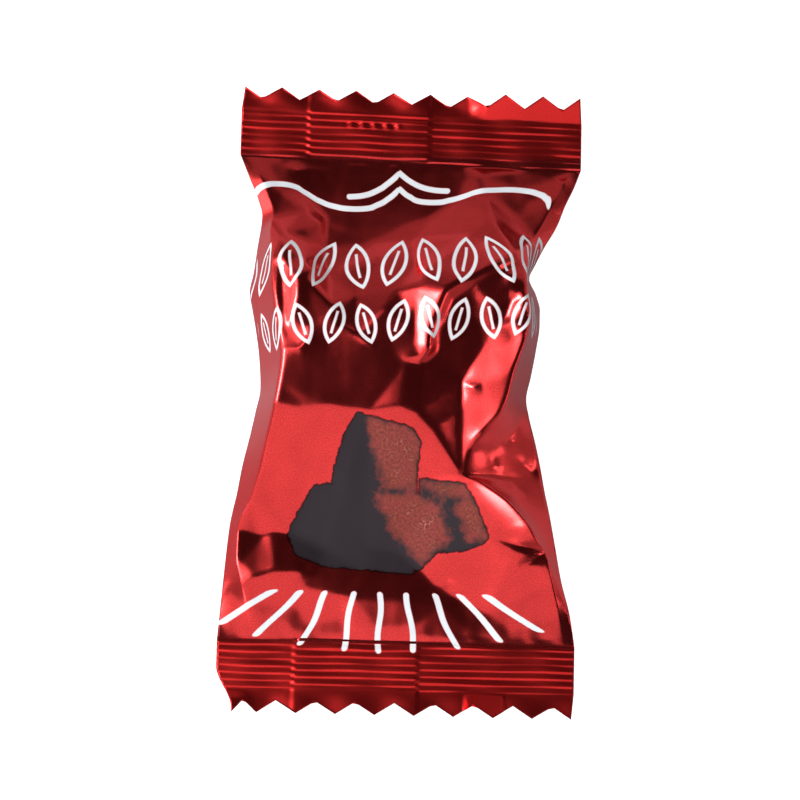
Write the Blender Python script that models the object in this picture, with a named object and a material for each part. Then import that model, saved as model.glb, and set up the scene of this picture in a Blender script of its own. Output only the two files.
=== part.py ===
"""A chocolate truffle sealed in a metallised film flow wrap, lying on its back with the printed face up.

Blender 4.5, metres, +Z up, +Y towards the pack's top seal. The origin is at the centre of the bounding box's
underside. The shut pack is one solid: the pillow that the film makes over the truffle, a crimped seal with a
zigzag cut at each end, and the long fin seal that is folded flat on the back.
"""

import bpy
import bmesh
import numpy as np
from mathutils import Matrix

MM = 0.001

# Driving dimensions, in millimetres.
FILM_WIDTH = 44.0  # flat width of the film tube, as the end seals show it
SEAL_INNER = 29.9  # from the pack's middle to where the pillow starts
SEAL_OUTER = 36.0  # from the middle to the last crimp rib
CUT_VALLEY = 37.4  # from the middle to the inner corners of the zigzag cut
CUT_PEAK = 38.8  # from the middle to the tips of the zigzag cut
SEAL_HEIGHT = 6.5  # height of the seals' middle plane above the table
FILM_THICKNESS = 0.5  # crimped film in the seals, and the film folded round at the pillow's sides
SEAL_SKEW = 0.016  # slope of the top seal across the pack, as the jaws closed on it

TEETH = 9  # whole teeth across each cut edge
RIBS = 3  # crimp ribs across each seal
RIB_DEPTH = 0.3

FIN_COLUMNS = (8, 20)  # the columns under the folded fin seal, from its free edge to its root
FIN_THICKNESS = 0.3

# How finely the solid is faceted.
COLUMNS = 4 * TEETH
ROWS_PER_RIB = 4
BODY_ROWS = 30

# The pillow's rails run the length of the pack, each along one column of facets. Each is (column, corners), with
# the corners (y, x, z) in millimetres from the bottom seal to the top seal and straight film between them.
Z = SEAL_HEIGHT
END = SEAL_INNER
EDGE = FILM_WIDTH / 2


def seal_x(column):
    """Where a column crosses the flat film of the seals."""
    return (column / COLUMNS - 0.5) * FILM_WIDTH


LEFT_RIM = (0, (
    (-END, seal_x(0), Z), (-18, -21.0, 7.2), (-10, -19.6, 7.6), (1.5, -17.6, 8.2), (13.5, -19.0, 7.8),
    (22.6, -17.9, 7.4), (END, seal_x(0), Z)))
LEFT_RIDGE = (5, (
    (-END, seal_x(5), Z), (-20, -20.3, 8.0), (-10, -16.8, 12.0), (-1, -13.9, 16.2), (12, -14.4, 16.0),
    (18, -15.2, 14.2), (22, -16.4, 10.0), (END, seal_x(5), Z)))
LEFT_FACE = (13, (
    (-END, seal_x(13), Z), (-23, -7.0, 9.6), (-18.5, -7.0, 8.8), (-1, -6.0, 16.8), (11, -6.0, 16.9),
    (18, -6.0, 16.0), (END, seal_x(13), Z)))
RIGHT_FACE = (23, (
    (-END, seal_x(23), Z), (-23, 7.0, 9.4), (-18.5, 6.0, 8.8), (-8, 3.6, 14.0), (-1, 4.0, 16.4), (11, 5.0, 17.0),
    (18, 5.0, 15.6), (END, seal_x(23), Z)))
# This ridge swings in to a pinch below the truffle's right corner.
RIGHT_RIDGE = (31, (
    (-END, seal_x(31), Z), (-20, 17.6, 8.2), (-12.7, 13.0, 10.8), (-9, 9.4, 12.6), (-1, 11.6, 14.8),
    (11, 13.9, 15.4), (18, 14.4, 13.2), (22.6, 16.4, 9.2), (END, seal_x(31), Z)))
RIGHT_RIM = (36, (
    (-END, seal_x(36), Z), (-18, 19.3, 7.2), (-10, 17.8, 7.6), (0.5, 15.5, 8.2), (10.5, 17.0, 7.8),
    (15.5, 16.2, 7.8), (22.6, 19.0, 7.2), (END, seal_x(36), Z)))
FRONT_RAILS = (LEFT_RIM, LEFT_RIDGE, LEFT_FACE, RIGHT_FACE, RIGHT_RIDGE, RIGHT_RIM)

# The back lies flat on the table under the truffle, and rises to the seals and the rims around it.
FLAT_LOW, FLAT_HIGH = -13.0, 21.0
BACK_LEFT = (7, ((-END, seal_x(7), Z), (FLAT_LOW, -12.6, 0), (FLAT_HIGH, -12.6, 0), (END, seal_x(7), Z)))
BACK_RIGHT = (29, ((-END, seal_x(29), Z), (FLAT_LOW, 11.0, 0), (FLAT_HIGH, 11.0, 0), (END, seal_x(29), Z)))
BACK_RAILS = (LEFT_RIM, BACK_LEFT, BACK_RIGHT, RIGHT_RIM)


def clear_scene():
    for obj in list(bpy.data.objects):
        bpy.data.objects.remove(obj, do_unlink=True)


def across(rails, y):
    """x and z of every column at this y, straight from rail to rail."""
    corners = [np.array(rail) for _, rail in rails]
    at = [column for column, _ in rails]
    xs = [np.interp(y, rail[:, 0], rail[:, 1]) for rail in corners]
    zs = [np.interp(y, rail[:, 0], rail[:, 2]) for rail in corners]
    columns = np.arange(COLUMNS + 1)
    return np.interp(columns, at, xs), np.interp(columns, at, zs)


def rib_height(distance):
    """Zigzag crimp: 0 at the seal's inner edge, crests of RIB_DEPTH, as a function of the distance outwards."""
    phase = distance / (SEAL_OUTER - SEAL_INNER) * RIBS % 1.0
    return RIB_DEPTH * (1 - abs(2 * phase - 1)) - RIB_DEPTH / 2


def tooth_depth(column):
    """0 at the tips of the zigzag cut and 1 at its inner corners."""
    phase = column / COLUMNS * TEETH % 1.0
    return 1 - abs(2 * phase - 1)


def stations():
    """The rows along the pack, each (kind, distance from the middle, side), from the bottom cut to the top cut."""
    ribs = np.linspace(SEAL_INNER, SEAL_OUTER, RIBS * ROWS_PER_RIB + 1)
    body = np.linspace(-SEAL_INNER, SEAL_INNER, BODY_ROWS + 1)
    rows = [("cut", CUT_PEAK, -1)]
    rows += [("seal", d, -1) for d in ribs[:0:-1]]
    rows += [("body", y, 0) for y in body]
    rows += [("seal", d, 1) for d in ribs[1:]]
    rows += [("cut", CUT_PEAK, 1)]
    return rows


def row_points(kind, distance, side):
    """The front points, left to right, and the back points under them, of one row."""
    columns = np.arange(COLUMNS + 1)
    on_fin = (columns >= FIN_COLUMNS[0]) & (columns <= FIN_COLUMNS[1])
    if kind == "body":
        front_x, front_z = across(FRONT_RAILS, distance)
        back_x, back_z = across(BACK_RAILS, distance)
        y = np.full(COLUMNS + 1, distance)
    else:
        front_x = back_x = seal_x(columns)
        depth = (CUT_PEAK - CUT_VALLEY) * tooth_depth(columns) if kind == "cut" else 0
        y = side * (distance - depth) + 0 * columns
        front_z = back_z = SEAL_HEIGHT + (rib_height(distance - SEAL_INNER) if kind == "seal" else 0) + 0 * columns
    front_z = front_z + FILM_THICKNESS / 2
    back_z = np.maximum(back_z - FILM_THICKNESS / 2 - FIN_THICKNESS * on_fin, 0)
    # The top seal leans to one side. The pillow leans with it, less and less towards the pack's middle.
    lean = -SEAL_SKEW * np.clip(y / SEAL_INNER, 0, 1)
    front = np.stack([front_x, y + lean * front_x, front_z], axis=1)
    back = np.stack([back_x, y + lean * back_x, back_z], axis=1)
    return front, back


def sachet_mesh():
    """Lofts the rows into one closed skin: front, back, both rims and both cut edges."""
    bm = bmesh.new()
    rings = []
    for row in stations():
        front, back = row_points(*row)
        rings.append([bm.verts.new(point) for point in np.concatenate([front, back[::-1]]) * MM])
    for low, high in zip(rings, rings[1:]):
        for i in range(len(low)):
            j = (i + 1) % len(low)
            bm.faces.new((low[i], low[j], high[j], high[i]))
    last = len(rings[0]) - 1
    for ring in (rings[0], rings[-1]):
        for i in range(COLUMNS):
            bm.faces.new((ring[i], ring[i + 1], ring[last - i - 1], ring[last - i]))
    bmesh.ops.recalc_face_normals(bm, faces=bm.faces)
    mesh = bpy.data.meshes.new("sachet")
    bm.to_mesh(mesh)
    bm.free()
    return mesh


def stand_on_origin(mesh):
    """Moves the mesh so that the middle of its bounding box's underside is the origin."""
    points = np.array([v.co for v in mesh.vertices])
    low, high = points.min(0), points.max(0)
    shift = -np.array([(low[0] + high[0]) / 2, (low[1] + high[1]) / 2, low[2]])
    mesh.transform(Matrix.Translation(shift))


def film_material():
    material = bpy.data.materials.new("red_metallised_film")
    material.use_nodes = True
    shader = material.node_tree.nodes["Principled BSDF"]
    shader.inputs["Base Color"].default_value = (0.60, 0.03, 0.035, 1)
    shader.inputs["Metallic"].default_value = 0.85
    shader.inputs["Roughness"].default_value = 0.32
    return material


def main():
    clear_scene()
    mesh = sachet_mesh()
    stand_on_origin(mesh)
    mesh.materials.append(film_material())
    mesh.shade_smooth()
    mesh.set_sharp_from_angle(angle=np.radians(25))
    sachet = bpy.data.objects.new("sachet", mesh)
    bpy.context.scene.collection.objects.link(sachet)


main()
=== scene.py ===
"""A chocolate truffle in a crumpled red metallised flow wrap, lying on its back under soft studio lamps.

Lengths are in millimetres in the pack's own frame until a mesh is written: x across the pack, y along it
towards the top seal, z up from the table. The film coordinate s runs across the flat film, -22 to 22.
"""

from math import cos, radians, sin

import bpy
import numpy as np
from mathutils import Matrix, Quaternion, Vector
from mathutils.geometry import delaunay_2d_cdt


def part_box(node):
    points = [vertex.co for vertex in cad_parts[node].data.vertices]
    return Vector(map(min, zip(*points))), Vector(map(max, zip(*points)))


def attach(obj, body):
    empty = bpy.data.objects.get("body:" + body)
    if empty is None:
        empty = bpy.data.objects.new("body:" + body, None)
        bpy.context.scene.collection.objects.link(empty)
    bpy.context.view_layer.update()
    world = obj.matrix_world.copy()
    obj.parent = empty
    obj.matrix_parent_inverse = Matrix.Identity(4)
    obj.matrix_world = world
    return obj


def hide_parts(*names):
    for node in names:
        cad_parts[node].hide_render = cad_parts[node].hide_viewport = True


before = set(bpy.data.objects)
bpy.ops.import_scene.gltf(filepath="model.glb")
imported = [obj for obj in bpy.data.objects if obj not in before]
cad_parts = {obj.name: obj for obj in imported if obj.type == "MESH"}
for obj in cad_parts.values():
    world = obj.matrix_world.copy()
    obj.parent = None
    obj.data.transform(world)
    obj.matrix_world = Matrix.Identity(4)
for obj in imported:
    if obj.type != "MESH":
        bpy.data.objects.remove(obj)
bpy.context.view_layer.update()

LOW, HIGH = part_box("sachet")
MM = (HIGH.y - LOW.y) / 78.0  # the pack is 78 mm long, cut to cut
CENTRE_X = (LOW.x + HIGH.x) / 2
CENTRE_Y = (LOW.y + HIGH.y) / 2

# The flow wrap's flat sizes.
HALF = 22.0  # half the width of the flat film tube
SEAL_IN = 29.9  # middle to the inner edge of an end seal
SEAL_OUT = 36.0  # middle to the last crimp rib
SEAL_DEPTH = SEAL_OUT - SEAL_IN
CUT_VALLEY = 37.4  # middle to the inner corners of the zigzag cut
CUT_PEAK = 38.9  # middle to its tips
SEAL_Z = 6.5
FILM = 0.16  # two crimped plies of film
TEETH = 9
RIBS = 7
FIN = (-12.8, 2.9)  # free edge and root of the folded fin seal
WALL_SHARE = 5.5 / 44  # share of the printed side's film in one side wall
BACK_SHARES = (7 / 36, 29 / 36)  # where the flat underside starts and ends, as shares of the back's film
SEAL_ENDS = {-1: (-22.0, 22.0), 1: (-21.0, 21.8)}  # left and right end of each seal, by side
BACK_END = 13.4  # from the middle to the underside's long creases, at the seals
SLANT = 0.025  # slope of the top seal across the pack

# Grid of the wrapper.
FRONT_COLUMNS = 180
BACK_COLUMNS = 60
SEAL_ROWS = 50
MARGIN_ROWS = 9
BODY_ROWS = 232
FIN_STEPS = 40


# ------------------------------------------------------------------------------------------------ curves


def smooth_curve(corners):
    """Monotone cubic through (t, value) corners: straight where the corners are straight, with no overshoot."""
    t, v = np.array(corners, float).T
    step = np.diff(t)
    slope = np.diff(v) / step
    tangent = np.zeros_like(v)
    same = slope[:-1] * slope[1:] > 0
    before, after = (2 * step[:-1] + step[1:])[same], (step[:-1] + 2 * step[1:])[same]
    tangent[1:-1][same] = (before + after) / (before / slope[:-1][same] + after / slope[1:][same])
    tangent[0], tangent[-1] = slope[0], slope[-1]

    def at(x):
        x = np.clip(x, t[0], t[-1])
        i = np.clip(np.searchsorted(t, x, side="right") - 1, 0, len(step) - 1)
        u = (x - t[i]) / step[i]
        return (v[i] * (1 + 2 * u) * (1 - u) ** 2 + v[i + 1] * u * u * (3 - 2 * u)
                + step[i] * (tangent[i] * u * (1 - u) ** 2 + tangent[i + 1] * u * u * (u - 1)))

    return at


def ease(x):
    """0 below 0 and 1 above 1, with a smooth start and stop."""
    x = np.clip(x, 0, 1)
    return x * x * (3 - 2 * x)


# ------------------------------------------------------------------------------------------- pillow shape

# Where the rims and the two long ridges of the pillow run, as (y, x).
LEFT_RIM = smooth_curve([
    (-30, -22.0), (-25, -21.6), (-20, -21.2), (-16, -20.8), (-12, -20.0), (-9, -19.5), (-5, -18.6),
    (-2, -18.0), (0.8, -17.5), (4, -17.7), (7.5, -18.2), (10.5, -18.8), (12.7, -19.2), (15, -18.8),
    (18, -18.4), (22, -17.9), (24.2, -18.5), (26.5, -19.5), (30, -21.0)])
RIGHT_RIM = smooth_curve([
    (-30, 22.0), (-26, 21.3), (-22, 20.2), (-18, 19.4), (-14, 18.6), (-11, 17.9), (-8, 17.3), (-5, 16.6),
    (-2, 15.8), (0.3, 15.4), (3, 15.9), (6.5, 16.5), (9.8, 16.9), (11.5, 16.9), (13.5, 16.4), (15.6, 15.5),
    (17.3, 16.2), (19.2, 17.1), (22.3, 18.8), (25, 19.8), (27.5, 20.9), (30, 21.8)])
LEFT_RIDGE = smooth_curve([
    (-30, -16.5), (-24, -18.8), (-20, -19.7), (-16.5, -19.6), (-13, -18.1), (-10, -17.2), (-6, -16.3),
    (-3, -15.6), (1, -14.9), (4, -14.6), (8, -15.2), (12, -15.8), (16, -16.2), (20, -16.6), (22, -16.4),
    (25, -17.3), (28, -18.7), (30, -19.6)])
RIGHT_RIDGE = smooth_curve([
    (-30, 20.6), (-26, 19.9), (-22, 18.9), (-18.8, 18.0), (-17.6, 17.2), (-15.2, 15.6), (-12.6, 13.0),
    (-10.6, 10.0), (-9.5, 8.0), (-7.5, 8.2), (-5.5, 9.0), (-2, 12.0), (0, 12.8), (3, 13.5), (7, 14.8),
    (10, 15.3), (14, 14.8), (17, 15.0), (20, 15.7), (22.3, 16.8), (25, 18.1), (27.5, 19.4), (30, 20.4)])

RIM_Z = smooth_curve([
    (-30, SEAL_Z), (-18, 7.2), (0, 8.2), (15, 8.0), (20.5, 8.6), (24, 8.3), (27, 7.5), (30, SEAL_Z)])

# The printed face is flat facets between creases. Each chain is a crease as (x, y, z) corners, and corners
# without a height lie in the plane of the big slope below the truffle.
CREASES = (
    # both seals' inner edges, and points beyond the rims
    ((-30, -29.9, 6.5), (-21, -29.9, 6.5), (-17, -29.9, 6.5), (-11, -29.9, 6.5), (-5.2, -29.9, 6.5),
     (2, -29.9, 6.5), (9, -29.9, 6.5), (16.5, -29.9, 6.5), (21, -29.9, 6.5), (30, -29.9, 6.5)),
    ((-30, 29.9, 6.5), (-19.5, 29.9, 6.5), (-15.6, 29.9, 6.5), (-4, 29.9, 6.5), (7, 29.9, 6.5),
     (15, 29.9, 6.5), (20.3, 29.9, 6.5), (30, 29.9, 6.5)),
    ((-30, 0, 15.8),), ((30, 0, 15.4),), ((-30, -18, 8.5),), ((30, -18, 11.0),),
    # the big slope: its upper edge, its two sides and the crease below it
    ((-14.6, -1.7), (-12, -2.2), (-9, -1.6), (-4, -2.3), (0, -1.6), (2, -2.3), (4, -4.2), (5.5, -6.7),
     (7.4, -9.6)),
    ((-14.6, -1.7), (-16.3, -6), (-17.2, -10), (-18.1, -13), (-19.7, -16.6)),
    ((7.4, -9.6), (10, -10.6), (13, -12.6), (15.6, -15.2), (17.2, -17.6), (18, -18.8), (18.9, -22),
     (19.9, -26, 7.4), (21, -29.9, 6.5)),
    ((-19.7, -16.6), (-17, -17.3, 8.2), (-15.5, -16.9, 8.4), (-13, -17.3, 8.1), (-9, -19, 7.6),
     (-4, -18.4, 7.9), (0, -19, 7.9), (2.5, -21, 7.7), (4.5, -23, 7.5), (8, -24.8, 7.2), (11, -26, 7.1),
     (14, -28.5, 6.8), (16.5, -29.9, 6.5)),
    ((18, -18.8), (14.5, -17.9, 11.0), (11.3, -16.9)),
    # the air pocket above the bottom seal
    ((-19.7, -16.6), (-19.5, -20.5, 8.9), (-18.9, -23.6, 9.0), (-19.0, -26, 8.0), (-21, -29.9, 6.5)),
    ((-18.9, -23.6, 9.0), (-17.5, -22.4, 9.4), (-15, -21.5, 9.5), (-12, -21.3, 9.3), (-10.3, -21.9, 8.5),
     (-11.5, -23.6, 8.3), (-14.4, -25.6, 7.7), (-14.8, -27, 7.3), (-17, -29.9, 6.5)),
    ((-10.3, -21.9, 8.5), (-4, -21.5, 8.4), (1.5, -22.6, 7.9), (4.5, -23, 7.5)),
    ((-7.4, -24.4, 8.3), (-6.8, -27, 7.2), (-5.4, -29.2, 6.75), (-5.2, -29.9, 6.5)),
    ((-7.4, -24.4, 8.3), (-5.6, -24.6, 8.4), (-5.0, -28.2, 7.3), (-2, -28.4, 7.2), (2, -29.4, 6.75)),
    ((-11.0, -28, 6.9), (-12, -26, 7.4)), ((1.4, -24.6, 7.9), (1.9, -28, 7.3)), ((5.6, -25.4, 7.4),
     (9, -28.2, 6.8)),
    # the flat top of the truffle's lower half
    ((-14.6, -1.7), (-14.7, 1, 16.0), (-14.5, 4, 16.1), (-15.0, 8, 15.9)),
    ((-14.5, 4, 16.1), (-11.8, 4.8, 16.2), (-11.3, 7.4, 16.3)),
    ((-8, 7.5, 16.55), (-5.6, 6.6, 16.6), (-3, 5, 16.6)),
    # the tongue of film over the middle and the pocket right of it
    ((-1.2, 5.0, 16.5), (0.4, 4.1, 16.6), (2.3, 4.1, 16.7), (3.1, 5.2, 17.3), (3.3, 8, 17.5),
     (4.2, 10, 17.9), (5, 12.2, 18.2), (8, 14.1, 17.6), (11, 15.9, 17.0), (13.5, 17.4, 15.6),
     (15.8, 20.2, 11.0)),
    ((2.3, 4.1, 16.7), (1.4, 6, 16.6), (1.2, 8.5, 16.65), (1.4, 11, 16.8), (1.8, 13, 16.9),
     (2.6, 15, 16.4)),
    ((0.4, 3.6, 16.3), (2.5, 3.6, 16.0), (4.3, 5.2, 15.9), (4.6, 8, 16.6), (5.4, 10.2, 16.5),
     (5.9, 11.5, 16.6), (8.6, 13.1, 16.6), (11.6, 14.9, 16.3), (14.2, 16.3, 15.0), (15.5, 18.4, 12.4)),
    # the valley beside the truffle and the strip right of it
    ((7.4, -9.6), (7.2, -6, 13.9), (7.1, -2, 14.2), (7.2, 1.7, 14.5), (8.4, 4, 14.8), (9.6, 6.2, 15.1),
     (9.2, 8.2, 15.5), (8.2, 9.6, 15.8), (8.4, 11.4, 16.1), (8.6, 13.1, 16.6)),
    ((7.4, -9.6), (8.2, -7.5, 14.0), (9, -5.5, 14.5), (12, -2, 15.4), (12.8, 0, 15.8), (13.5, 3, 16.2),
     (14.8, 7, 16.6), (15.3, 10, 16.2), (14.8, 14, 15.9), (15.0, 17, 14.2)),
    ((7.2, 1.7, 14.5), (8.6, 0.9, 15.0), (9.7, 1.2, 15.3)),
    # crumples on the right shoulder
    ((11.8, 5.8, 15.6), (13.2, 6.4, 16.0), (14.8, 7, 16.6)),
    ((9.6, 6.2, 15.1), (11.0, 8.4, 15.8), (10.6, 11.2, 16.4), (11.6, 14.9, 16.3)),
    ((11.0, 8.4, 15.8), (12.3, 9.6, 15.5), (12.9, 11.6, 15.7), (12.7, 13.0, 16.4)),
    ((12.9, 11.6, 15.7), (13.5, 12.6, 16.3), (14.8, 11.9, 16.85)), ((13.5, 12.6, 16.3), (12.9, 14.6, 16.6)),
    ((13.2, 8.8, 16.2), (14.2, 10.6, 16.8)),
    # the panel that runs down from the top left over the truffle's middle
    ((-10.0, 22.3, 9.0), (-9.8, 18, 11.0), (-9.2, 14.6, 12.9), (-6, 11.6, 14.9), (-2.4, 9.7, 16.9),
     (-1.2, 5.0, 16.5)),
    ((-4, 19, 10.6), (-3.2, 16.5, 13.1), (-0.8, 12.4, 16.2), (0.6, 8.4, 16.9)), ((-0.8, 12.4, 16.2),
     (-2.4, 9.7, 16.9)),
    ((-4, 19, 10.6), (0.8, 19.4, 11.0), (1.2, 16, 13.9), (2.6, 15, 16.4), (5, 12.2, 18.2)),
    # crumples on the left shoulder
    ((-15.0, 8, 15.9), (-15.7, 12, 15.4), (-16.2, 16, 14.6), (-16.6, 20, 12.0), (-16.4, 21.6, 10.1)),
    ((-16.4, 21.6, 10.1), (-14.6, 19.4, 12.4), (-11.9, 18.5, 12.2), (-9.8, 18, 11.0)),
    ((-16.6, 20, 12.0), (-15.2, 17.9, 14.4), (-12.4, 16.2, 14.6), (-9.2, 14.6, 12.9)),
    ((-16.2, 16, 14.6), (-14.7, 14.8, 14.9), (-14.6, 12, 15.2), (-14.3, 9.4, 15.6), (-14.2, 7.2, 15.9)),
    ((-14.6, 15.4, 15.3), (-13.3, 14, 16.4), (-12.9, 11.4, 16.7), (-13.7, 8.6, 16.3), (-14.2, 7.2, 15.9)),
    ((-13.3, 14, 16.4), (-11.8, 13.4, 16.3), (-11.0, 14.6, 15.9)),
    ((-12.9, 11.4, 16.7), (-11.6, 10.4, 16.2), (-11.3, 7.4, 16.3)), ((-11.6, 10.4, 16.2),
     (-8.6, 10.2, 16.3)),
    # the slope to the top seal: a hollow in its middle and steeper panels on both sides
    ((-14.6, 28.4, 7.2), (-12.6, 25.4, 7.9), (-10.0, 22.3, 9.0), (-7.2, 20.8, 9.8), (-4, 19, 10.6)),
    ((-14.6, 28.4, 7.2), (-8, 28.3, 7.0), (0, 28.2, 7.0), (7.4, 28.3, 7.1), (6.4, 25.2, 8.2),
     (3, 22.7, 9.1), (0, 21.5, 9.6), (-4, 19, 10.6)),
    ((0, 21.5, 9.6), (0.8, 19.4, 11.0)), ((3, 22.7, 9.1), (8, 20, 12.85), (11, 15.9, 17.0)),
    ((-17.4, 28.9, 7.1), (-15.6, 25.2, 8.6), (-12.6, 22.6, 10.1), (-10.4, 21.1, 10.6)),
    ((-16.4, 21.6, 10.1), (-17.1, 24.4, 9.2), (-18.1, 27, 8.4), (-19.5, 29.9, 6.5)),
    ((-12.6, 22.6, 10.1), (-12.4, 20.4, 11.6)),
    ((7.4, 28.3, 7.1), (8.8, 28.5, 7.8), (9.8, 26.0, 9.0), (10.4, 22.6, 11.6)),
    ((8.8, 28.5, 7.8), (14.5, 27.3, 7.6), (18.6, 28.4, 7.0)),
    ((14.5, 27.3, 7.6), (14.8, 25.2, 8.5), (14.0, 22.8, 9.6), (14.2, 20.4, 11.4), (15.8, 20.2, 11.0)),
    ((14.8, 25.2, 8.5), (17.2, 26.2, 8.3), (18.1, 25, 9.1)), ((15.8, 20.2, 11.0), (18.1, 25, 9.1),
     (20.3, 29.9, 6.5)),
)


def big_slope(x, y):
    return 15.9 + 0.05 * (x + 9) + 0.43 * (y + 2)


def face_height(x, y):
    """Height of the printed face: straight between the creases, over the triangles that join their corners."""
    number, places, heights, edges = {}, [], [], []
    for crease in CREASES:
        ends = []
        for corner in crease:
            place = corner[:2]
            if place not in number:
                number[place] = len(places)
                places.append(Vector(place))
                heights.append(corner[2] if len(corner) == 3 else big_slope(*place))
            ends.append(number[place])
        edges += list(zip(ends, ends[1:]))
    points, _, triangles, *_ = delaunay_2d_cdt(places, edges, [], 0, 1e-6)
    assert len(points) == len(places), "creases cross"
    z = np.full(x.shape, np.nan)
    for a, b, c in triangles:
        (ax, ay), (bx, by), (cx, cy) = points[a], points[b], points[c]
        area = (bx - ax) * (cy - ay) - (cx - ax) * (by - ay)
        share_b = ((x - ax) * (cy - ay) - (cx - ax) * (y - ay)) / area
        share_c = ((bx - ax) * (y - ay) - (x - ax) * (by - ay)) / area
        here = (share_b >= -1e-6) & (share_c >= -1e-6) & (share_b + share_c <= 1 + 1e-6)
        z[here] = (heights[a] + share_b * (heights[b] - heights[a]) + share_c * (heights[c] - heights[a]))[here]
    return z


BACK_LEFT = smooth_curve([(-30, -BACK_END), (-13, -12.6), (21, -12.6), (30, -BACK_END)])
BACK_RIGHT = smooth_curve([(-30, BACK_END), (-13, 11.0), (21, 11.0), (30, BACK_END)])
BACK_Z = smooth_curve([
    (-30, SEAL_Z), (-22, 3.2), (-14, 0.4), (-12, 0.3), (19, 0.3), (21, 0.5), (26, 3.4), (30, SEAL_Z)])


def front_grid(share, y):
    """Film on the printed side: x and z for shares 0 to 1 of the film's width, by rows of y.

    Between the two ridges it follows the printed face, and the side walls drop from the ridges to the rims.
    """
    lines = np.array([LEFT_RIM(y), LEFT_RIDGE(y), RIGHT_RIDGE(y), RIGHT_RIM(y)])
    x = np.array([np.interp(share, [0, WALL_SHARE, 1 - WALL_SHARE, 1], corners) for corners in lines.T])
    rows = np.repeat(y[:, None], len(share), axis=1)
    left, right = lines[1][:, None], lines[2][:, None]
    face = face_height(np.clip(x, left, right), rows)
    along = np.clip(np.minimum(share, 1 - share) / WALL_SHARE, 0, 1)
    rim = RIM_Z(y)[:, None]
    return x, rim + (face - rim) * along


def back_grid(share, y):
    """Film on the underside: flat on the table under the truffle, rising to the seals and the rims."""
    at = [0, *BACK_SHARES, 1]
    x = np.array([np.interp(share, at, [LEFT_RIM(v), BACK_LEFT(v), BACK_RIGHT(v), RIGHT_RIM(v)]) for v in y])
    z = np.array([np.interp(share, at, [RIM_Z(v), BACK_Z(v), BACK_Z(v), RIM_Z(v)]) for v in y])
    return x, z


def blurred(grid, times, across=True):
    """The 1-2-1 average along rows and columns, with the outer lines kept."""
    for _ in range(times):
        grid[1:-1] = (grid[:-2] + 2 * grid[1:-1] + grid[2:]) / 4
        if across:
            grid[:, 1:-1] = (grid[:, :-2] + 2 * grid[:, 1:-1] + grid[:, 2:]) / 4
    return grid


# --------------------------------------------------------------------------------------------- the folds

# Each fold is (reach on its left, reach on its right, corners), with corners (x, y, height). A fold with
# positive heights is a ridge and one with negative heights a valley. It fades with the distance from its line.
FOLDS = (
    (0.4, 0.6, ((-14.2, 4.8, 0.1), (-12.4, 4.9, 0.25), (-11.4, 6, 0.3), (-11.3, 8.0, 0))),
    (0.4, 0.5, ((-8.2, 7.6, 0), (-6.6, 7.3, 0.2), (-4.8, 6.2, 0.25), (-3, 5.1, 0))),
    (0.5, 0.7, ((7.1, 1.6, 0.0), (8.6, 0.9, 0.25), (9.6, 1.2, 0.0))),
    (0.6, 0.6, ((18.2, 29, 0), (19.6, 28.2, 0.25), (20.6, 28.8, 0))),
    (0.6, 0.6, ((-15.2, 28.9, 0), (-14, 28, 0.25), (-12.6, 28.4, 0))),
    (0.5, 1.7, ((8.4, -10.0, 0.1), (10, -10.6, 0.6), (13, -12.6, 1.0), (15.6, -15.2, 0.9), (17.2, -17.6, 0.6),
                (18, -18.8, 0.3), (19.4, -22, 0.3), (21, -26, 0.2), (21.7, -29, 0))),
    (0.5, 0.9, ((17.9, -18.6, -0.7), (14.5, -17.9, -0.5), (11.3, -16.9, 0))),
    (0.5, 0.8, ((17.9, -19.0, -0.4), (16.6, -19.7, -0.25), (14.6, -20.3, 0))),
    (0.7, 0.9, ((8.4, -6.3, 0), (10, -4.9, 0.5), (12, -3.7, 0.4), (12.8, -4.8, 0))),
    (0.6, 0.7, ((12.6, -3.4, 0), (13.3, -5.0, -0.5), (14.6, -2.6, -0.4), (15.2, -0.6, 0))),
    (0.8, 0.5, ((10.4, -6.2, 0), (11.1, -7.4, -0.25), (11.4, -8.4, -0.25), (11.5, -9.4, 0))),
    (0.9, 0.7, ((14.2, -6.8, 0), (15.0, -7.8, -0.3), (16.2, -8.8, -0.3), (17.0, -9.6, 0))),
    (0.7, 0.5, ((13.6, -10.0, 0), (14.4, -10.7, -0.2), (15.2, -11.3, -0.2), (15.8, -11.9, 0))),
    (0.5, 0.5, ((4.6, -23.1, 0), (6.2, -22.6, -0.15), (7.4, -22.7, 0))),
)
CREST = 0.06  # the folds' crests are this round


def fold_height(x, y):
    """The sum of the folds: height times exp(-distance / reach) from each fold's broken line."""
    total = np.zeros_like(x)
    for reach_left, reach_right, corners in FOLDS:
        nearest = np.full_like(x, 1e9)
        height = np.zeros_like(x)
        left = np.zeros(x.shape, bool)
        for (x0, y0, h0), (x1, y1, h1) in zip(corners, corners[1:]):
            dx, dy = x1 - x0, y1 - y0
            t = np.clip(((x - x0) * dx + (y - y0) * dy) / (dx * dx + dy * dy), 0, 1)
            gap = np.hypot(x - x0 - t * dx, y - y0 - t * dy)
            closer = gap < nearest
            nearest = np.where(closer, gap, nearest)
            height = np.where(closer, h0 + (h1 - h0) * t, height)
            left = np.where(closer, dx * (y - y0) - dy * (x - x0) > 0, left)
        gap = np.sqrt(nearest ** 2 + CREST ** 2) - CREST
        total += height * np.exp(-gap / np.where(left, reach_left, reach_right))
    return total


def ripple(x, y, seed, size, count=14):
    """Gentle unevenness: waves in random directions, about one wave per size in millimetres, from -1 to 1."""
    random = np.random.default_rng(seed)
    total = np.zeros_like(x)
    for _ in range(count):
        angle, phase = random.uniform(0, 2 * np.pi, 2)
        k = 2 * np.pi / (size * random.uniform(0.7, 1.6))
        total += np.sin(k * (x * np.cos(angle) + y * np.sin(angle)) + phase)
    return total / np.sqrt(count * 2)


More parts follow.
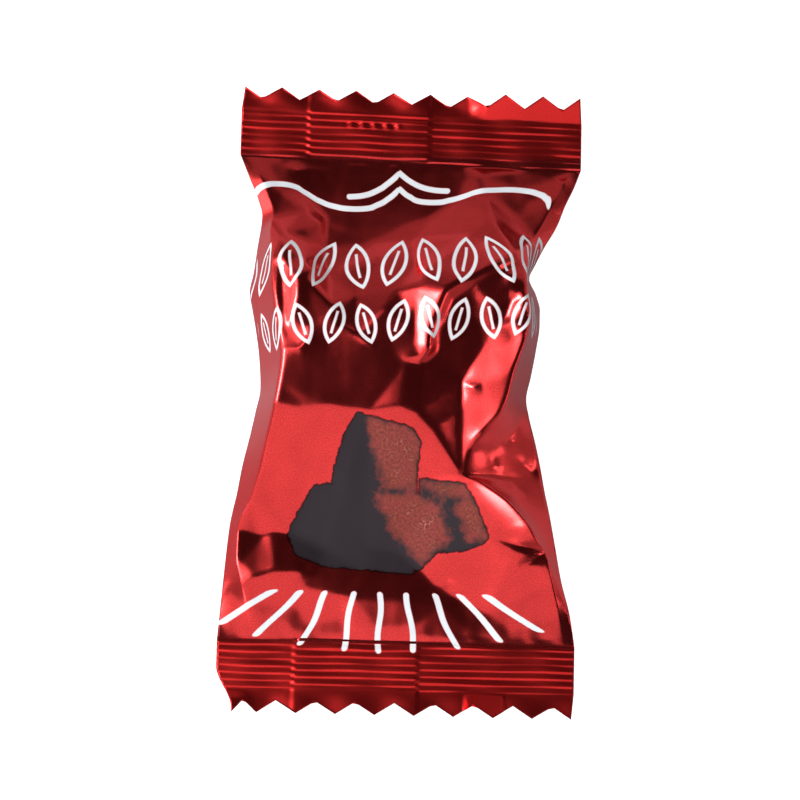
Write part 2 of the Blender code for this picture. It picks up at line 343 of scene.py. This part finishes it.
def crumple(x, y, seed, size, count=7):
    """Flat facets between sharp creases: triangle waves in random directions, slightly bent, from -1 to 1."""
    random = np.random.default_rng(seed)
    bend_x, bend_y = ripple(x, y, seed + 50, 14), ripple(x, y, seed + 51, 14)
    total = np.zeros_like(x)
    for _ in range(count):
        angle, phase = random.uniform(0, 2 * np.pi), random.uniform(0, 1)
        length = size * random.uniform(0.7, 1.8)
        across = (x + bend_x) * np.cos(angle) + (y + bend_y) * np.sin(angle)
        total += np.abs((across / length + phase) % 1.0 - 0.5) * 4 - 1
    return total / np.sqrt(count)


def shoulders(x, y):
    """1 where the film is crumpled over the truffle's upper half, 0.25 on the smooth slopes."""
    crumpled = ease((y - 1) / 5) * ease((29 - y) / 4)
    corner = ease((np.abs(x + 1) - 4) / 6)
    return 0.25 + 0.75 * crumpled * (0.45 + 0.55 * corner)


def puckers(x, y, seed):
    """Fine pleats that start at the crimped seals and fade over 4 mm into the pillow."""
    distance = np.clip(SEAL_IN - np.abs(y), 0, None)
    wave = ripple(x, 0.15 * y, seed, 2.6)
    return 0.07 * wave * np.exp(-distance / 2.5) * ease(distance / 0.8)


# --------------------------------------------------------------------------------------------- end seals


def seal_relief(x, out, side):
    """Height of the crimped seal's front over its middle plane.

    out is the distance outwards from the seal's inner edge. Ribs 1 mm apart have a short steep flank towards
    the bottom of the pack. Inside the fin seal's imprint the film stands proud and is embossed with bumps.
    """
    pitch = SEAL_DEPTH / RIBS
    fin = ease((x - FIN[0]) / 0.5) * ease((FIN[1] - x) / 0.3)
    phase = (out * side / pitch + 0.45 * fin + 0.10 * ripple(x, out, 5, 9)) % 1.0
    rib = np.where(phase < 0.3, phase / 0.3, (1 - phase) / 0.7) - 0.5
    band = ease(out / 0.3) * ease((SEAL_DEPTH - out) / 0.3 + 0.5)
    strength = np.clip(0.75 + 0.5 * ripple(0.5 * x, out * 1.2, 8 + side, 5) + 0.2 * fin, 0.35, 1.4)
    row = np.exp(-((out - 4.6) / 0.3) ** 2) * (side > 0)
    bumps = np.sin(2 * np.pi * x / 1.5) * row * ease((x + 8.5) / 1.0) * ease((-0.5 - x) / 1.0)
    wave = 0.07 * ripple(x, out * 0.8, 21 + side, 8) + 0.05 * ripple(0.3 * x, 2.2 * out, 41 + side, 3)
    return 0.16 * rib * band * strength + fin * 0.06 * ease(out / 0.6) + 0.12 * bumps + wave * band


def margin_relief(x, out, side):
    """Height of the unribbed strip outside the ribs: curled up at the top right, wavy elsewhere."""
    past = np.clip(out - SEAL_DEPTH, 0, None)
    if side > 0:
        curl = 0.75 * ease((x - 7.5) / 2.5) - 0.12
        wave = 0.22 * np.sin(x * 0.75 + 1.0) * (1 - ease((x - 7.5) / 2.5))
    else:
        curl = 0.25 + 0.5 * ease((x - 8.6) / 0.3) * ease((13.4 - x) / 0.3)
        wave = 0.10 * np.sin(x * 0.9) + 0.6 * ease((-17 - x) / 4)
    return past * curl + wave * ease(past / 1.5)


def cut_line(s, side):
    """Distance of the zigzag cut from the pack's middle: nine equal teeth across the film."""
    phase = (s + HALF) / (2 * HALF) * TEETH % 1.0
    return CUT_VALLEY + (CUT_PEAK - CUT_VALLEY) * np.abs(2 * phase - 1)


# ---------------------------------------------------------------------------------------------- the mesh


def back_height(x, y, z):
    """The underside at x and y, where it would lie at z without its dents; it is flat where it rests."""
    free = np.clip(z - 0.3, 0, 1.5) / 1.5 * ease((SEAL_IN - np.abs(y)) / 3.0)
    return z + 0.35 * ripple(x, 0.6 * y, 11, 7) * free + puckers(x, y, 9)


def wrapper_grids():
    """Front and back points of the whole wrapper, rows from the bottom cut to the top cut."""
    front_share = np.linspace(0, 1, FRONT_COLUMNS + 1)
    back_share = np.linspace(0, 1, BACK_COLUMNS + 1)
    body = np.linspace(-SEAL_IN, SEAL_IN, BODY_ROWS + 1)
    x, z = front_grid(front_share, body)
    xb, zb = back_grid(back_share, body)
    z = blurred(z, 3)
    zb = blurred(zb, 2)
    y = np.repeat(body[:, None], FRONT_COLUMNS + 1, axis=1)
    yb = np.repeat(body[:, None], BACK_COLUMNS + 1, axis=1)
    inside = ease((SEAL_IN - np.abs(y)) / 1.0)
    relief = fold_height(x, y) + 0.05 * ripple(x, y, 3, 9) + 0.012 * ripple(x, y, 4, 3.2)
    relief += 0.10 * crumple(x, y, 61, 7.0) * shoulders(x, y)
    z = z + relief * inside + puckers(x, y, 7)
    zb = back_height(xb, yb, zb)
    rims = (slice(None), (0, -1))
    z[rims] = zb[rims] = (RIM_Z(body)[:, None] + 0 * z[rims])

    front, back = [np.stack([x, y, z], axis=2)], [np.stack([xb, yb, zb], axis=2)]
    for side in (-1, 1):
        outs = np.concatenate([np.linspace(0, SEAL_DEPTH, SEAL_ROWS + 1)[1:],
                               SEAL_DEPTH + np.linspace(0, 1, MARGIN_ROWS + 1)[1:]])
        for shares, grids, face in ((front_share, front, 1), (back_share, back, -1)):
            s = (shares - 0.5) * 2 * HALF
            end = side * SEAL_IN
            ridges = (LEFT_RIDGE(end), RIGHT_RIDGE(end)) if face > 0 else (-BACK_END, BACK_END)
            at = (WALL_SHARE, 1 - WALL_SHARE) if face > 0 else BACK_SHARES
            past = np.clip(outs - SEAL_DEPTH, 0, None)[:, None]
            reach = np.minimum(outs, SEAL_DEPTH)[:, None] + past * (cut_line(s, side) - SEAL_OUT)[None, :]
            width = np.interp(reach, [0, 3, 6, 9], [1, 1, 1, 0.985])
            left, right = SEAL_ENDS[side]
            even = (left + right) / 2 + (s / HALF) * (right - left) / 2
            inner = np.interp(shares, (0, *at, 1), (left, *ridges, right))
            spread = ease(reach / 5)
            px = (inner * (1 - spread) + even * spread) * width
            if side < 0:
                px += 1.9 * ease((reach - 3.4) / 5) * np.clip((-17 - px) / 5, 0, 1)
            relief = seal_relief(px, np.minimum(reach, SEAL_DEPTH), side) + margin_relief(px, reach, side)
            pz = SEAL_Z + relief + face * FILM / 2 * ease(reach / 0.5)
            strip = np.stack([px, side * (SEAL_IN + reach), pz], axis=2)
            if side < 0:
                grids.insert(0, strip[::-1])
            else:
                grids.append(strip)
    front, back = np.concatenate(front), np.concatenate(back)
    for grid in (front, back):
        # the top seal closed at a slant
        grid[..., 1] -= SLANT * grid[..., 0] * np.clip(grid[..., 1] / SEAL_IN, 0, 1)
    return front, back


def film_run(grid):
    """Length of film from each row's first point, as the sum of its steps in x and z."""
    steps = np.hypot(*np.diff(grid[..., [0, 2]], axis=1).transpose(2, 0, 1))
    return np.concatenate([np.zeros((len(grid), 1)), np.cumsum(steps, axis=1)], axis=1)


def film_coordinates(front, back):
    """The film's own coordinates in millimetres: along each row the length of film from the pack's middle."""
    run = blurred(film_run(front), 12, across=False)
    middle = np.array([np.interp(0.0, xs, rs) for xs, rs in zip(front[..., 0], run)])
    scale = (2 * HALF / run[:, -1])[:, None]
    u_front = (run - middle[:, None]) * scale
    run_back = film_run(back)
    u_back = u_front[:, -1:] + (run_back[:, -1:] - run_back) * scale
    return u_front, u_back


def closed_film(name, upper, lower, u_upper, u_lower, material):
    """A closed piece between two grids that share their left and right columns.

    Each row is a ring: the upper points left to right, then the lower points right to left. Rows are joined by
    quads and the first and last row are closed by strips. The UV map holds the film's own coordinates in
    millimetres, divided by 100.
    """
    ring = np.concatenate([upper, lower[:, -2:0:-1]], axis=1)
    u = np.concatenate([u_upper, u_lower[:, -2:0:-1]], axis=1)
    v = ring[..., 1]
    rows, columns = u.shape
    index = np.arange(rows * columns).reshape(rows, columns)
    u_next, v_next, following = np.roll(u, -1, 1), np.roll(v, -1, 1), np.roll(index, -1, 1)
    u_next[:, -1] = 2 * u[:, -1] - u[:, -2]
    quads = np.stack([index[:-1], following[:-1], following[1:], index[1:]], axis=2).reshape(-1, 4)
    uv = np.stack([np.stack(pair, 2) for pair in ((u[:-1], v[:-1]), (u_next[:-1], v_next[:-1]),
                                                  (u_next[1:], v_next[1:]), (u[1:], v[1:]))], axis=2)
    # an upper row has a whole number of steps for each step of the lower row
    steps = lower.shape[1] - 1
    ratio = (upper.shape[1] - 1) // steps
    caps = []
    for row in (0, rows - 1):
        for i in range(steps):
            corner = columns - i - 1 if i < steps - 1 else ratio * steps
            below = [index[row, corner], index[row, (columns - i) % columns]]
            cap = list(dict.fromkeys([*index[row, ratio * i:ratio * (i + 1) + 1], *below]))
            caps.append(cap if row == 0 else cap[::-1])
    sizes = np.array([4] * len(quads) + [len(cap) for cap in caps], np.int32)
    loops = np.concatenate([quads.ravel(), *caps]).astype(np.int32)
    flat_uv = np.stack([u.ravel(), v.ravel()], axis=1)
    corner_uv = np.concatenate([uv.reshape(-1, 2), *[flat_uv[cap] for cap in caps]])
    mesh = bpy.data.meshes.new(name)
    mesh.vertices.add(rows * columns)
    world = ring.reshape(-1, 3) * MM + np.array([CENTRE_X, CENTRE_Y, LOW.z])
    mesh.vertices.foreach_set("co", world.astype(np.float32).ravel())
    mesh.loops.add(len(loops))
    mesh.loops.foreach_set("vertex_index", loops)
    mesh.polygons.add(len(sizes))
    mesh.polygons.foreach_set("loop_start", np.concatenate([[0], np.cumsum(sizes)[:-1]]).astype(np.int32))
    mesh.update(calc_edges=True)
    layer = mesh.uv_layers.new(name="film")
    layer.data.foreach_set("uv", (corner_uv / 100).astype(np.float32).ravel())
    mesh.shade_smooth()
    mesh.materials.append(material)
    piece = bpy.data.objects.new(name, mesh)
    bpy.context.scene.collection.objects.link(piece)
    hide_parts("sachet")
    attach(piece, "root")
    return piece


def build_wrapper(material):
    """The whole printed film: its front and back surfaces, moved so that the two cuts are centred."""
    front, back = wrapper_grids()
    u_front, u_back = film_coordinates(front, back)
    shift = (front[..., 1].max() + front[..., 1].min()) / 2
    front[..., 1] -= shift
    back[..., 1] -= shift
    return closed_film("wrapper", front, back, u_front, u_back, material)


def build_fin_seal(material):
    """The lengthwise seal folded flat under the pack: a thin strip with ribs along it, 1.5 mm apart."""
    share = np.linspace(0, 1, FIN_STEPS + 1)
    y = np.linspace(-SEAL_IN - 0.6, SEAL_IN - 0.2, BODY_ROWS + 1)
    edge = 0.15 * ripple(y, 0 * y, 77, 12)[:, None]
    x = (FIN[0] + 0.4 + edge) * (1 - share) + FIN[1] * share
    rows = np.repeat(y[:, None], FIN_STEPS + 1, axis=1)
    under = back_height(x, rows, BACK_Z(y)[:, None] + 0 * x)
    crimp = 0.05 * np.sin(2 * np.pi * (x - FIN[0]) / 1.5) * ease((FIN[1] - 1.0 - x) / 0.5)
    upper = np.stack([x, rows, under + 0.06], axis=2)
    lower = np.stack([x, rows, np.maximum(under - 0.24 + crimp, 0.0)], axis=2)
    lower[:, (0, -1)] = upper[:, (0, -1)] = (upper[:, (0, -1)] + lower[:, (0, -1)]) / 2
    return closed_film("fin_seal", upper, lower, x, x, material)


# ------------------------------------------------------------------------------------------ shader maths


class Num:
    """A value socket. Operators on it add Math nodes to its tree."""

    def __init__(self, tree, socket):
        self.tree, self.socket = tree, socket

    def math(self, operation, *others, clamp=False):
        node = self.tree.nodes.new("ShaderNodeMath")
        node.operation, node.use_clamp = operation, clamp
        for slot, value in enumerate((self, *others)):
            if isinstance(value, Num):
                self.tree.links.new(value.socket, node.inputs[slot])
            else:
                node.inputs[slot].default_value = value
        return Num(self.tree, node.outputs[0])

    def __add__(self, other):
        return self.math("ADD", other)

    def __sub__(self, other):
        return self.math("SUBTRACT", other)

    def __mul__(self, other):
        return self.math("MULTIPLY", other)

    def __truediv__(self, other):
        return self.math("DIVIDE", other)

    __radd__, __rmul__ = __add__, __mul__

    def __rsub__(self, other):
        node = self.tree.nodes.new("ShaderNodeMath")
        node.operation = "SUBTRACT"
        node.inputs[0].default_value = other
        self.tree.links.new(self.socket, node.inputs[1])
        return Num(self.tree, node.outputs[0])

    def __abs__(self):
        return self.math("ABSOLUTE")

    def max(self, other):
        return self.math("MAXIMUM", other)

    def min(self, other):
        return self.math("MINIMUM", other)

    def sin(self):
        return self.math("SINE")

    def sqrt(self):
        return self.math("SQRT")

    def round(self):
        return self.math("ROUND")

    def floor(self):
        return self.math("FLOOR")

    def clamped(self):
        return self.math("ADD", 0.0, clamp=True)

    def inside(self, soft=0.05):
        """1 where a signed distance is negative, 0 where it is positive, over a soft edge in millimetres."""
        return (0.5 - self / (2 * soft)).clamped()


class Maker:
    """Adds nodes to one material."""

    def __init__(self, name):
        self.material = bpy.data.materials.new(name)
        self.material.use_nodes = True
        self.tree = self.material.node_tree
        self.shader = self.tree.nodes["Principled BSDF"]

    def node(self, kind, settings=None, **sockets):
        """A node of that type: its settings first, then the values or links of its sockets."""
        made = self.tree.nodes.new("ShaderNode" + kind)
        for key, value in (settings or {}).items():
            setattr(made, key, value)
        for key, value in sockets.items():
            self.plug(made, key.replace("_", " "), value)
        return made

    def plug(self, node, key, value):
        socket = node.inputs[int(key[1:])] if key[0] == "#" else node.inputs[key]
        if isinstance(value, Num):
            value = value.socket
        if isinstance(value, bpy.types.NodeSocket):
            self.tree.links.new(value, socket)
        else:
            socket.default_value = value

    def num(self, socket):
        return Num(self.tree, socket)

    def mix(self, factor, a, b):
        """Colour a where the factor is 0 and b where it is 1."""
        made = self.node("Mix", {"data_type": "RGBA", "clamp_factor": True})
        for slot, value in ((0, factor), (6, a), (7, b)):
            if isinstance(value, Num):
                value = value.socket
            if isinstance(value, bpy.types.NodeSocket):
                self.tree.links.new(value, made.inputs[slot])
            else:
                made.inputs[slot].default_value = value if slot == 0 else (*value, 1)
        return made.outputs[2]

    def noise(self, vector, scale, detail=2.0, rough=0.5):
        made = self.node("TexNoise", Vector=vector, Scale=scale, Detail=detail, Roughness=rough)
        return self.num(made.outputs["Fac"])


def srgb(r, g, b):
    """A screen colour from 0 to 255 as the linear colour a shader takes."""
    c = np.array([r, g, b]) / 255
    return tuple(np.where(c <= 0.04045, c / 12.92, ((c + 0.055) / 1.055) ** 2.4))


# ------------------------------------------------------------------------------------------- print shapes


def block(x, y, corners, round_by=0.5):
    """Signed distance to a convex block with its corners listed anticlockwise: the farthest of its edges."""
    inner = None
    for (ax, ay), (bx, by) in zip(corners, corners[1:] + corners[:1]):
        length = np.hypot(bx - ax, by - ay)
        nx, ny = (by - ay) / length, -(bx - ax) / length
        edge = x * float(nx) + y * float(ny) - float(nx * ax + ny * ay)
        inner = edge if inner is None else inner.math("SMOOTH_MAX", edge, round_by)
    return inner


def bracket_height(maker, x, corners):
    """The height of a hand-drawn line over x, by a float curve through its corners."""
    xs = [c[0] for c in corners]
    ys = [c[1] for c in corners]
    x0, x1, y0, y1 = min(xs), max(xs), min(ys) - 1, max(ys) + 1
    made = maker.tree.nodes.new("ShaderNodeFloatCurve")
    curve = made.mapping.curves[0]
    for i, (cx, cy, *kind) in enumerate(corners):
        at = ((cx - x0) / (x1 - x0), (cy - y0) / (y1 - y0))
        if i == 0:
            point = curve.points[0]
            point.location = at
        elif i == len(corners) - 1:
            point = curve.points[len(curve.points) - 1]
            point.location = at
        else:
            point = curve.points.new(*at)
        point.handle_type = kind[0] if kind else "AUTO"
    made.mapping.update()
    maker.plug(made, "Value", (x - x0) / (x1 - x0))
    return maker.num(made.outputs[0]) * (y1 - y0) + y0


def bracket_line(maker, x, y, corners, width):
    """Signed distance to a drawn line: the gap in y, shortened by the line's slope, cut off past its ends."""
    step = 0.25
    here = bracket_height(maker, x, corners)
    slope = (bracket_height(maker, x + step, corners) - here) / step
    gap = abs(y - here) / (slope * slope + 1.0).sqrt()
    ends = (x - corners[-1][0]).max(corners[0][0] - x)
    ends = ends.max(0.0)
    return (gap * gap + ends * ends).sqrt() - width / 2


FRAME_LINE = (
    (-23.0, 23.8), (-21.2, 25.2), (-19.4, 26.0), (-17.5, 26.3), (-16, 26.2), (-14, 25.3), (-12, 24.2),
    (-10, 23.55), (-8, 23.25), (-6, 23.3), (-4, 23.9), (-2.4, 24.85), (-0.95, 26.1, "VECTOR"), (0.6, 25.0),
    (2.2, 24.45), (4, 24.4), (6, 24.75), (8, 25.3), (10, 25.9), (12, 26.15), (14, 26.3), (16, 26.25),
    (18, 25.85), (19.3, 25.2), (20.0, 24.5))
CROWN_LINE = (
    (-7.9, 24.9), (-6, 25.1), (-4, 25.85), (-2.4, 26.95), (-0.95, 28.25, "VECTOR"), (0.6, 27.1), (2, 26.45),
    (3.6, 26.1), (5.5, 26.0))


def leaf(x, y, length, width, line):
    """Signed distance to an outlined pointed leaf with a midrib, standing along y and centred on the origin."""
    radius = (length ** 2 + width ** 2) / (4 * width)
    shift = radius - width / 2
    side = ((abs(x) + shift) * (abs(x) + shift) + y * y).sqrt() - radius
    outline = abs(side) - line / 2
    rib = abs(x).max(abs(y) - length * 0.26) - line * 0.38
    return outline.min(rib)


def garland(x, y, middle, pitch, length, width, lean, line, phase):
    """A row of leaves, leaning one way and the other by turns: one leaf repeated every pitch."""
    turn = ((x + phase) / pitch).round()
    local = x + phase - turn * pitch
    odd = abs(turn - (turn / 2).floor() * 2)
    way = odd * 2 - 1
    height = y - middle - (turn * 1.9).sin() * 0.18
    tilt = way * sin(lean)
    lx = local * cos(lean) + height * tilt
    ly = height * cos(lean) - local * tilt
    return leaf(lx, ly, length, width, line)


def rays(x, y, line):
    """Nine strokes that fan out downwards: the nearest stroke's distance, cut off at the fan's two arcs."""
    down = -24.4 - y
    number = ((x + 2.1) / (down * 0.245 + 3.36)).round().max(-4.0).min(4.0)
    wobble = (y * 0.9 + number * 2.3).sin() * 0.16
    lean = number * (0.06 + 0.083 * abs(number))
    gap = abs(x + 2.1 - number * 3.36 - lean * down - wobble) / (lean * lean + 1.0).sqrt()
    foot = number * number * 0.19 - 31.3
    past = (y + 24.5).max(foot - y).max(0.0)
    return (gap * gap + past * past).sqrt() - line / 2


# Cocoa-dusted truffles in the print: whole blocks in dark chocolate, and the faces on which cocoa lies.
SHADED = (
    ((-5.4, -2.7), (-7.3, -5.2), (-9.0, -10.2), (-8.6, -12.6), (2.2, -12.6), (2.7, -6.0), (1.6, -4.4)),
    ((-8.4, -10.9), (-11.2, -11.4), (-12.6, -14.4), (-14.0, -17.2), (-12.8, -20.0), (-9.0, -21.3),
     (2.0, -22.0), (2.0, -12.0), (-1.0, -11.0)),
    ((2.4, -10.3), (2.4, -18.8), (4.6, -19.3), (8.2, -19.1), (11.0, -18.0), (11.4, -17.2), (9.2, -12.0),
     (8.2, -10.7)),
    ((-3.4, -11.6), (-4.4, -18.6), (2.6, -21.6), (5.4, -19.0), (6.4, -16.6), (5.2, -14.0), (2.6, -12.0)),
)
DUSTED = (
    ((-4.9, -3.2), (-4.0, -5.4), (-4.2, -8.6), (-3.0, -11.4), (-0.8, -11.7), (2.1, -11.3), (2.4, -6.2),
     (1.3, -4.8)),
    ((-3.2, -12.3), (-3.0, -14.2), (-0.8, -16.4), (0.2, -18.6), (2.6, -20.8), (5.1, -18.8), (6.1, -16.6),
     (4.9, -14.3), (2.3, -12.4)),
    ((8.3, -12.6), (7.2, -14.2), (9.2, -17.4), (11.0, -17.4), (9.6, -13.4)),
    ((3.4, -10.9), (5.2, -12.4), (8.6, -12.2), (8.0, -11.0)),
)


def mirrored(corners):
    """The corners in the other order, so that a block listed clockwise is listed anticlockwise."""
    area = sum(ax * by - bx * ay for (ax, ay), (bx, by) in zip(corners, corners[1:] + corners[:1]))
    return corners if area > 0 else corners[::-1]


# --------------------------------------------------------------------------------------------- materials

FILM_RED = (0.79, 0.053, 0.053)
DEEP_RED = (0.70, 0.014, 0.013)
WHITE_INK = srgb(205, 212, 216)
DARK_TRUFFLE = srgb(37, 31, 36)
COCOA = srgb(140, 58, 54)
COCOA_WARM = srgb(130, 60, 38)
COCOA_SHADED = srgb(92, 38, 36)
BLOOM = srgb(186, 118, 124)
OUTLINE = srgb(30, 18, 20)


def film_material(printed):
    """Red metallised film with a fine grain. The print's lines and the drawn truffles are matt inks on it."""
    maker = Maker("printed_film" if printed else "plain_film")
    uv = maker.node("UVMap", {"uv_map": "film"}).outputs[0]
    axes = maker.node("SeparateXYZ", Vector=uv)
    x = maker.num(axes.outputs[0]) * 100
    y = maker.num(axes.outputs[1]) * 100
    film_mm = maker.node("VectorMath", {"operation": "SCALE"}, Vector=uv, Scale=100.0).outputs[0]

    grain = maker.noise(film_mm, 5.5, 2.0, 0.6)
    cloud = maker.noise(film_mm, 0.35, 3.0, 0.5)
    crimped = (abs(y) - 29.9).clamped()
    speckle = (0.85 * grain + 0.15 * cloud - 0.35) * 3.3
    red = maker.mix(speckle, tuple(c * 0.80 for c in FILM_RED), tuple(c * 1.17 for c in FILM_RED))
    red = maker.mix(crimped * 0.6, red, DEEP_RED)
    roughness = 0.19 + 0.06 * cloud + 0.11 * crimped
    metallic = 1.0
    colour = red

    if printed:
        lines = bracket_line(maker, x, y, FRAME_LINE, 0.74)
        lines = lines.min(bracket_line(maker, x, y, CROWN_LINE, 0.74))
        upper = garland(x, y - 0.05 * x, 15.9, 4.3, 6.0, 2.5, radians(15), 0.42, 1.2)
        upper = upper.max(abs(x + 0.5) - 21.5)
        lower = garland(x, y - 0.07 * x, 8.4, 3.6, 4.8, 2.0, radians(15), 0.40, 0.6)
        lower = lower.max(abs(x + 0.5) - 20.5)
        ink = lines.min(upper).min(lower).min(rays(x, y, 0.72)).inside(0.06)
        shade = None
        for corners in SHADED:
            part = block(x, y, mirrored(corners))
            shade = part if shade is None else shade.min(part)
        dust = None
        for corners in DUSTED:
            part = block(x, y, mirrored(corners))
            dust = part if dust is None else dust.min(part)
        wander = (maker.noise(film_mm, 1.2, 3.0) - 0.5) * 0.7
        shade_mask = (shade + wander).inside(0.08)
        crumbs = maker.noise(film_mm, 3.2, 3.0, 0.75)
        drift = maker.noise(film_mm, 0.55, 4.0, 0.6)
        edge = dust + wander + (drift - 0.5) * 3.4 + (crumbs - 0.5) * 2.2 - 0.25
        dust_mask = edge.inside(0.55) * shade_mask
        dusting = maker.mix((drift - 0.4) * 4, COCOA, COCOA_WARM)
        cocoa = maker.mix((crumbs - 0.5) * 3 + 0.5, COCOA_SHADED, dusting)
        truffle = maker.mix(dust_mask, DARK_TRUFFLE, cocoa)
        specks = ((crumbs - 0.53) * 9).clamped() * ((drift - 0.5) * 6).clamped()
        bloom = specks * (dust + 0.8).inside(1.2) * shade_mask
        truffle = maker.mix(bloom * 0.8, truffle, BLOOM)
        outline = (shade + wander + 0.28).inside(0.12)
        truffle = maker.mix(outline * 0.65 + 0.35, OUTLINE, truffle)
        colour = maker.mix(shade_mask, colour, truffle)
        colour = maker.mix(ink, colour, WHITE_INK)
        covered = ink.max((shade + wander + 0.12).inside(0.06))
        metallic = 1.0 - covered
        roughness = roughness + 0.3 * covered
    maker.plug(maker.shader, "Base Color", colour)
    maker.plug(maker.shader, "Metallic", metallic)
    maker.plug(maker.shader, "Roughness", roughness)
    maker.plug(maker.shader, "Specular Tint", (1, 0.9, 0.9, 1))
    maker.plug(maker.shader, "Specular IOR Level", 0.15)
    bump = maker.node("Bump", Height=grain, Strength=0.22, Distance=0.02 * MM)
    maker.plug(maker.shader, "Normal", bump.outputs[0])
    return maker.material


# ------------------------------------------------------------------------------------------------- stage


FLOOR_GLOW = 0.96
FLOOR_GLOW_REFLECTED = 0.02


def floor_material():
    """Pale paper. Its own glow raises what the camera sees of it to white, and it keeps the pack's shadow."""
    maker = Maker("pale_floor")
    maker.plug(maker.shader, "Base Color", (0.38, 0.39, 0.415, 1))
    maker.plug(maker.shader, "Roughness", 0.9)
    path = maker.node("LightPath")
    reflected = maker.num(path.outputs["Is Glossy Ray"]).max(maker.num(path.outputs["Is Transmission Ray"]))
    seen = maker.num(path.outputs["Is Camera Ray"]) * FLOOR_GLOW + reflected * FLOOR_GLOW_REFLECTED
    glow = maker.mix(seen, (0, 0, 0), (1, 1, 1))
    maker.plug(maker.shader, "Emission Color", glow)
    maker.plug(maker.shader, "Emission Strength", 1.0)
    return maker.material


def lit_world():
    """Dim studio overhead, and a pale sweep round the horizon; white where the camera sees it."""
    world = bpy.data.worlds.new("studio")
    bpy.context.scene.world = world
    world.use_nodes = True
    tree = world.node_tree
    back = tree.nodes["Background"]
    sky = tree.nodes.new("ShaderNodeTexCoord")
    axes = tree.nodes.new("ShaderNodeSeparateXYZ")
    tree.links.new(sky.outputs["Generated"], axes.inputs[0])
    ramp = tree.nodes.new("ShaderNodeValToRGB")
    ramp.color_ramp.elements[0].position = 0.0
    ramp.color_ramp.elements[0].color = (0.38, 0.38, 0.38, 1)
    ramp.color_ramp.elements[1].position = 0.58
    ramp.color_ramp.elements[1].color = (0.035, 0.035, 0.035, 1)
    middle = ramp.color_ramp.elements.new(0.40)
    middle.color = (0.32, 0.32, 0.32, 1)
    tree.links.new(axes.outputs[2], ramp.inputs[0])
    path = tree.nodes.new("ShaderNodeLightPath")
    pick = tree.nodes.new("ShaderNodeMix")
    pick.data_type = "RGBA"
    tree.links.new(path.outputs["Is Camera Ray"], pick.inputs[0])
    tree.links.new(ramp.outputs[0], pick.inputs[6])
    pick.inputs[7].default_value = (1, 1, 1, 1)
    tree.links.new(pick.outputs[2], back.inputs["Color"])
    back.inputs["Strength"].default_value = 1.0


def softbox(name, azimuth, elevation, distance, size, power):
    """An area lamp that faces the pack from that direction; azimuth 0 is from the pack's bottom end."""
    a, e = radians(azimuth), radians(elevation)
    place = Vector((sin(a) * cos(e), -cos(a) * cos(e), sin(e))) * distance
    lamp = bpy.data.lights.new(name, "AREA")
    lamp.shape = "RECTANGLE"
    lamp.size, lamp.size_y = size
    lamp.energy = power
    holder = bpy.data.objects.new(name, lamp)
    holder.location = place + Vector((0, 0, 0.008))
    holder.rotation_mode = "QUATERNION"
    holder.rotation_quaternion = place.to_track_quat("Z", "Y")
    bpy.context.scene.collection.objects.link(holder)
    return holder


def studio_lamps():
    """Softboxes that the film mirrors, and one overhead lamp that lights only the inks and the floor."""
    softbox("key", -32, 48, 0.9, (1.5, 0.64), 2.72)  # the broad lamp that the big slope mirrors
    softbox("side", -97, 59, 0.9, (0.62, 0.36), 0.86)  # lights the film that faces left
    softbox("fill", -132, 50, 0.9, (0.45, 0.40), 0.26)  # faint light from the top left
    softbox("sun", -97, 43, 0.9, (0.26, 0.26), 6.0)  # small and strong, for the glints on what faces left
    softbox("low_sun", -27, 18, 0.9, (0.22, 0.32), 3.6)  # glints on the steep creases below the truffle
    softbox("left_strip", -98, 15, 0.9, (0.36, 0.30), 1.0)  # the left side wall
    softbox("right_strip", 70, 14, 0.9, (0.30, 0.24), 0.38)  # the right side wall
    softbox("right_glint", 90, 30, 0.9, (0.10, 0.07), 0.2)  # glints on the right
    overhead = softbox("overhead", 150, 75, 0.9, (0.7, 0.7), 4.0)
    overhead.visible_glossy = False


def make_floor():
    half = 3.0
    mesh = bpy.data.meshes.new("floor")
    corners = [(-half, -half, 0), (half, -half, 0), (half, half, 0), (-half, half, 0)]
    mesh.from_pydata(corners, [], [(0, 1, 2, 3)])
    mesh.transform(Matrix.Translation((0, 0, LOW.z - 0.0001)))
    mesh.materials.append(floor_material())
    floor = bpy.data.objects.new("floor", mesh)
    bpy.context.scene.collection.objects.link(floor)


def make_camera():
    """Looks down on the printed face from a little towards the bottom seal, with the pack slightly turned."""
    tilt, roll, distance, field = radians(6), radians(1.4), 0.30, 0.0994
    data = bpy.data.cameras.new("camera")
    data.sensor_width = 36
    data.lens = 36 * distance / field
    camera = bpy.data.objects.new("camera", data)
    aim = Vector((CENTRE_X - 0.0002, CENTRE_Y - 0.00025, LOW.z + SEAL_Z * MM))
    back = Vector((0, -sin(tilt), cos(tilt)))
    camera.location = aim + back * distance
    camera.rotation_mode = "QUATERNION"
    level = back.to_track_quat("Z", "Y")
    camera.rotation_quaternion = Quaternion(back, roll) @ level
    bpy.context.scene.collection.objects.link(camera)
    bpy.context.scene.camera = camera


build_wrapper(film_material(printed=True))
build_fin_seal(film_material(printed=False))

make_floor()
lit_world()
studio_lamps()
make_camera()
bpy.context.scene.view_settings.view_transform = "Standard"
